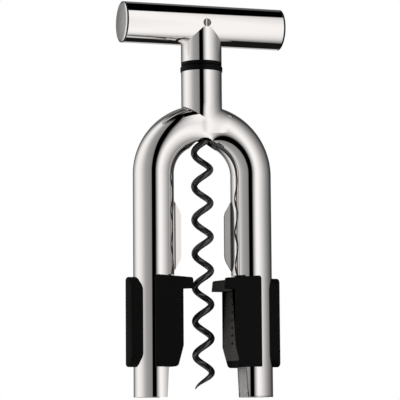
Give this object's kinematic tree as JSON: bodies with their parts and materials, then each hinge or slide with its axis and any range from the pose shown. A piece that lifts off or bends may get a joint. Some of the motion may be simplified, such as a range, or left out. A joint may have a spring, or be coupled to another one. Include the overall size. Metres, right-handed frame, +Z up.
{
  "type": "corkscrew",
  "caption": "Self-pulling corkscrew with a bent steel tube frame, a cross handle, a coated worm and black jaws that are squeezed onto the bottle's neck.",
  "frame": {"origin": "centre of the standing surface between the two legs, on the bottle's axis", "axes": "+Z up along the bottle's axis, X from leg to leg with the picture's left leg at -X, -Y towards the picture's camera"},
  "size_m": [0.0748, 0.0224, 0.1725],
  "materials": {
    "polished_steel": "mirror polished stainless steel tube",
    "satin_steel": "fine satin stainless steel",
    "plain_steel": "turned or drawn steel",
    "black_plastic": "black moulded plastic with a fine grain",
    "soft_liner": "soft black elastomer",
    "black_coating": "smooth black non-stick coating on steel"
  },
  "bodies": {
    "frame": {"frame_arch": "polished_steel", "frame_neck": "polished_steel", "neck_bushing": "black_plastic", "left_cork_fin": "polished_steel", "right_cork_fin": "polished_steel", "guide_pins": "plain_steel"},
    "left_jaw_unit": {"left_jaw": "black_plastic", "left_press_pad": "black_plastic", "left_grip_insert": "soft_liner", "left_pad_screws": "plain_steel", "left_return_springs": "plain_steel"},
    "right_jaw_unit": {"right_jaw": "black_plastic", "right_press_pad": "black_plastic", "right_grip_insert": "soft_liner", "right_pad_screws": "plain_steel", "right_return_springs": "plain_steel"},
    "glide": {"glide_washer": "black_plastic"},
    "spindle": {"handle_bar": "polished_steel", "handle_stub": "polished_steel", "left_end_cap": "satin_steel", "right_end_cap": "satin_steel", "handle_screw": "plain_steel", "spindle_hub": "plain_steel", "worm": "black_coating"}
  },
  "joints": [
    {"name": "left_jaw_squeeze", "type": "slide", "parent": "frame", "child": "left_jaw_unit", "axis": [1, 0, 0], "range_m": [0, 0.002], "stiffness_N_per_m": 400, "springref_m": -0.003},
    {"name": "right_jaw_squeeze", "type": "slide", "parent": "frame", "child": "right_jaw_unit", "axis": [-1, 0, 0], "range_m": [0, 0.002], "stiffness_N_per_m": 400, "springref_m": -0.003},
    {"name": "spindle_lift", "type": "slide", "parent": "frame", "child": "glide", "axis": [0, 0, 1], "range_m": [0, 0.046]},
    {"name": "spindle_turn", "type": "hinge", "parent": "glide", "child": "spindle", "pos_m": [0, 0, 0.1468], "axis": [0, 0, 1], "continuous": true}
  ]
}
